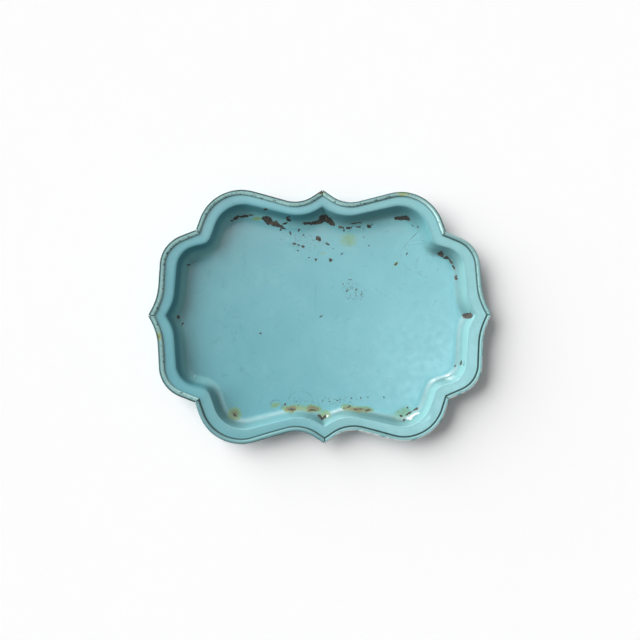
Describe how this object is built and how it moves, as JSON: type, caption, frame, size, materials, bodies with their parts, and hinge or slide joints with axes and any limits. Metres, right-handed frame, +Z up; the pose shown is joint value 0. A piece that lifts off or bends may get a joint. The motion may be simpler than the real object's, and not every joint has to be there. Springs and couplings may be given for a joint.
{
  "type": "serving tray",
  "caption": "Shallow painted sheet-steel serving tray with a scalloped cartouche outline, sloping wall, flat flange and wired hem.",
  "frame": {"origin": "middle of the tray on the surface it stands on, under the floor", "axes": "+Z up; X along the long side between the end cusps, Y across between the front and back cusps; the outline is symmetrical about both"},
  "size_m": [0.4056, 0.2994, 0.0214],
  "materials": {
    "turquoise_paint": "semi-gloss turquoise paint on sheet steel, chipped and rust-spotted",
    "wire_steel": "dull, lightly rusted steel wire"
  },
  "bodies": {
    "root": {"tray_pan": "turquoise_paint", "rim_wire_back_left": "wire_steel", "rim_wire_back_right": "wire_steel", "rim_wire_front_left": "wire_steel", "rim_wire_front_right": "wire_steel", "rim_wire_left_back": "wire_steel", "rim_wire_left_front": "wire_steel", "rim_wire_right_back": "wire_steel", "rim_wire_right_front": "wire_steel"}
  },
  "joints": []
}
